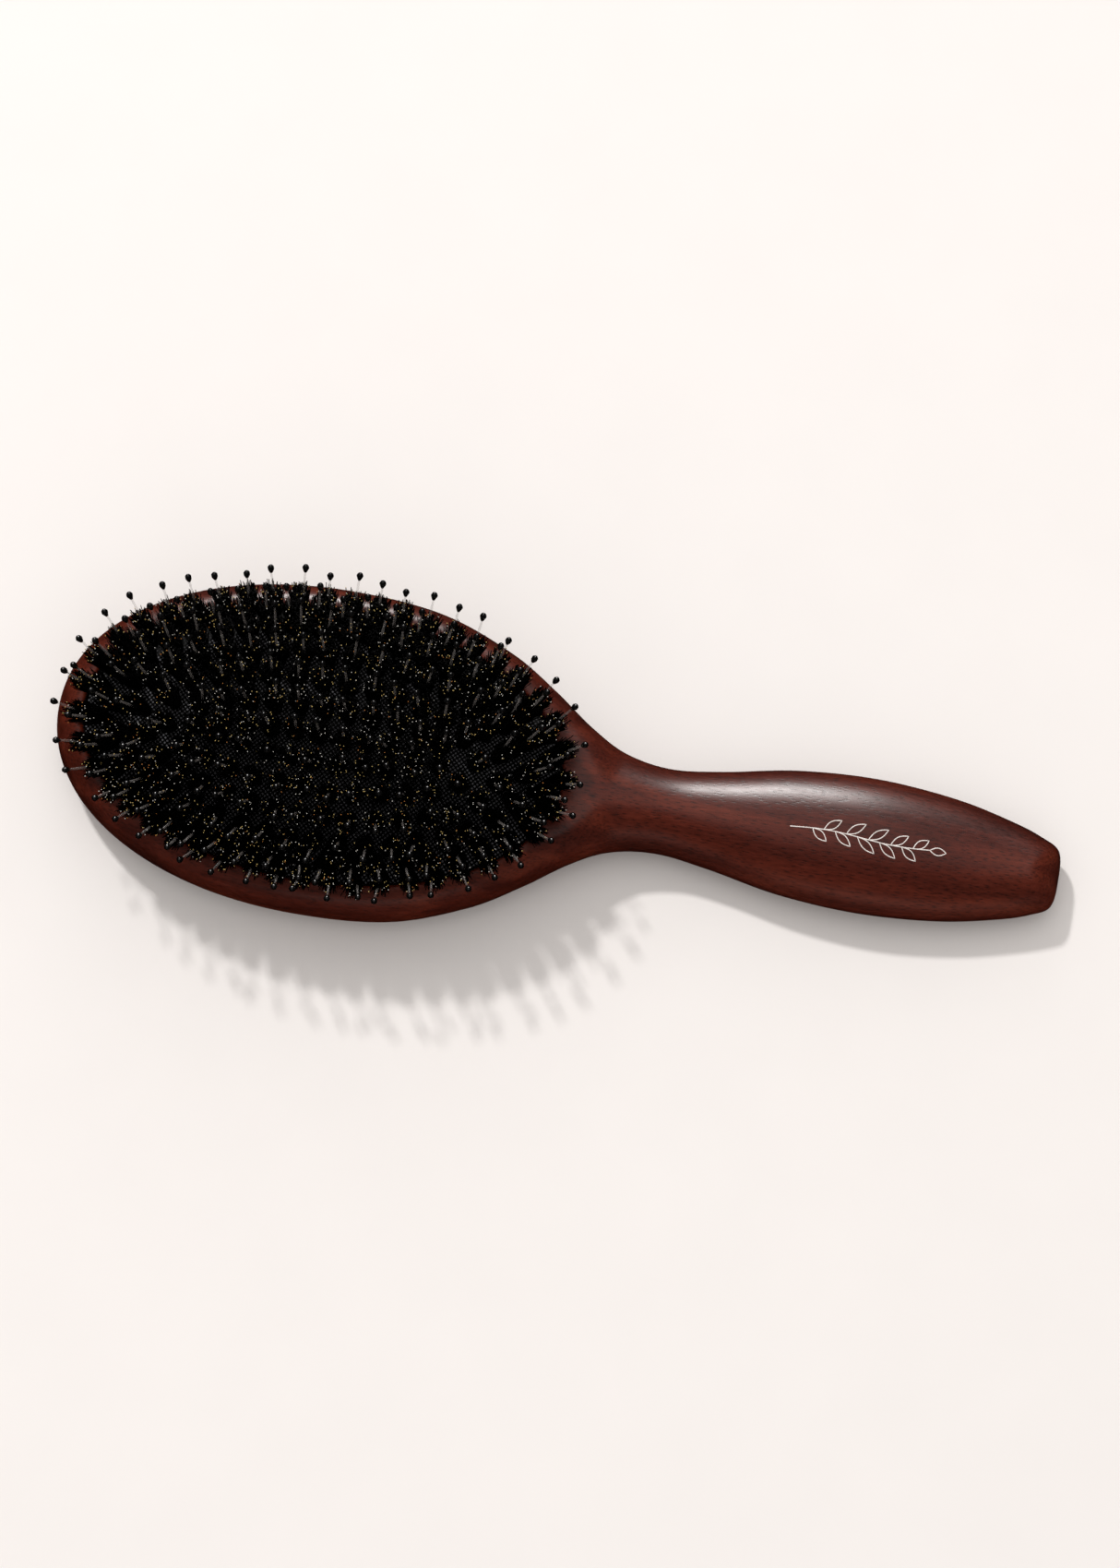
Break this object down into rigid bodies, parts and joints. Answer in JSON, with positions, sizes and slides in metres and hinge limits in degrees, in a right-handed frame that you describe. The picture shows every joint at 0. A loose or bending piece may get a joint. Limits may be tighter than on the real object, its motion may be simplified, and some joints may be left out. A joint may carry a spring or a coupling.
{
  "type": "oval cushion hairbrush",
  "caption": "Oval cushion hairbrush: a shaped wooden head and handle with a springy fabric-faced rubber cushion that carries ovals of bristle tufts and ball-tipped pins.",
  "frame": {"origin": "centre of the head's flat back, on the surface that the brush lies on", "axes": "+X along the handle to its end, +Z the way the bristles point, +Y across the head"},
  "size_m": [0.2418, 0.0788, 0.0455],
  "materials": {
    "stained_wood": "mahogany stain under satin lacquer",
    "cushion_face": "black woven cloth with fine pale dots, bonded to rubber",
    "nylon_pin": "smoky translucent shaft with a glossy black ball tip",
    "boar_bristle": "black natural bristle with paler tips"
  },
  "bodies": {
    "brush_body": {"wooden_body": "stained_wood", "cushion": "cushion_face"},
    "centre_tufts": {"pin_row": "nylon_pin", "bristle_row": "boar_bristle"},
    "ring_1_tufts": {"pin_ring_1": "nylon_pin", "bristle_ring_1_outer": "boar_bristle", "bristle_ring_1_inner": "boar_bristle"},
    "ring_2_tufts": {"pin_ring_2": "nylon_pin", "bristle_ring_2_outer": "boar_bristle", "bristle_ring_2_inner": "boar_bristle"},
    "ring_3_tufts": {"pin_ring_3": "nylon_pin", "bristle_ring_3_outer": "boar_bristle", "bristle_ring_3_inner": "boar_bristle"},
    "ring_4_tufts": {"pin_ring_4": "nylon_pin", "bristle_ring_4_outer": "boar_bristle", "bristle_ring_4_inner": "boar_bristle"},
    "ring_5_tufts": {"pin_ring_5": "nylon_pin", "bristle_ring_5_outer": "boar_bristle", "bristle_ring_5_inner": "boar_bristle"},
    "ring_6_tufts": {"pin_ring_6": "nylon_pin", "bristle_ring_6_outer": "boar_bristle", "bristle_ring_6_inner": "boar_bristle"}
  },
  "joints": [
    {"name": "cushion_press", "type": "slide", "parent": "brush_body", "child": "centre_tufts", "axis": [0, 0, -1], "range_m": [0, 0.004], "stiffness_N_per_m": 1200, "deforming": ["cushion"]},
    {"name": "ring_1_sink", "type": "slide", "parent": "brush_body", "child": "ring_1_tufts", "axis": [0, 0, -1], "range_m": [0, 0.00073]},
    {"name": "ring_2_sink", "type": "slide", "parent": "brush_body", "child": "ring_2_tufts", "axis": [0, 0, -1], "range_m": [0, 0.0014]},
    {"name": "ring_3_sink", "type": "slide", "parent": "brush_body", "child": "ring_3_tufts", "axis": [0, 0, -1], "range_m": [0, 0.00215]},
    {"name": "ring_4_sink", "type": "slide", "parent": "brush_body", "child": "ring_4_tufts", "axis": [0, 0, -1], "range_m": [0, 0.00291]},
    {"name": "ring_5_sink", "type": "slide", "parent": "brush_body", "child": "ring_5_tufts", "axis": [0, 0, -1], "range_m": [0, 0.00351]},
    {"name": "ring_6_sink", "type": "slide", "parent": "brush_body", "child": "ring_6_tufts", "axis": [0, 0, -1], "range_m": [0, 0.00388]}
  ],
  "couplings": [
    {"joint": "ring_1_sink", "follows": "cushion_press", "ratio": 0.1817},
    {"joint": "ring_2_sink", "follows": "cushion_press", "ratio": 0.3501},
    {"joint": "ring_3_sink", "follows": "cushion_press", "ratio": 0.5376},
    {"joint": "ring_4_sink", "follows": "cushion_press", "ratio": 0.7264},
    {"joint": "ring_5_sink", "follows": "cushion_press", "ratio": 0.877},
    {"joint": "ring_6_sink", "follows": "cushion_press", "ratio": 0.9692}
  ]
}
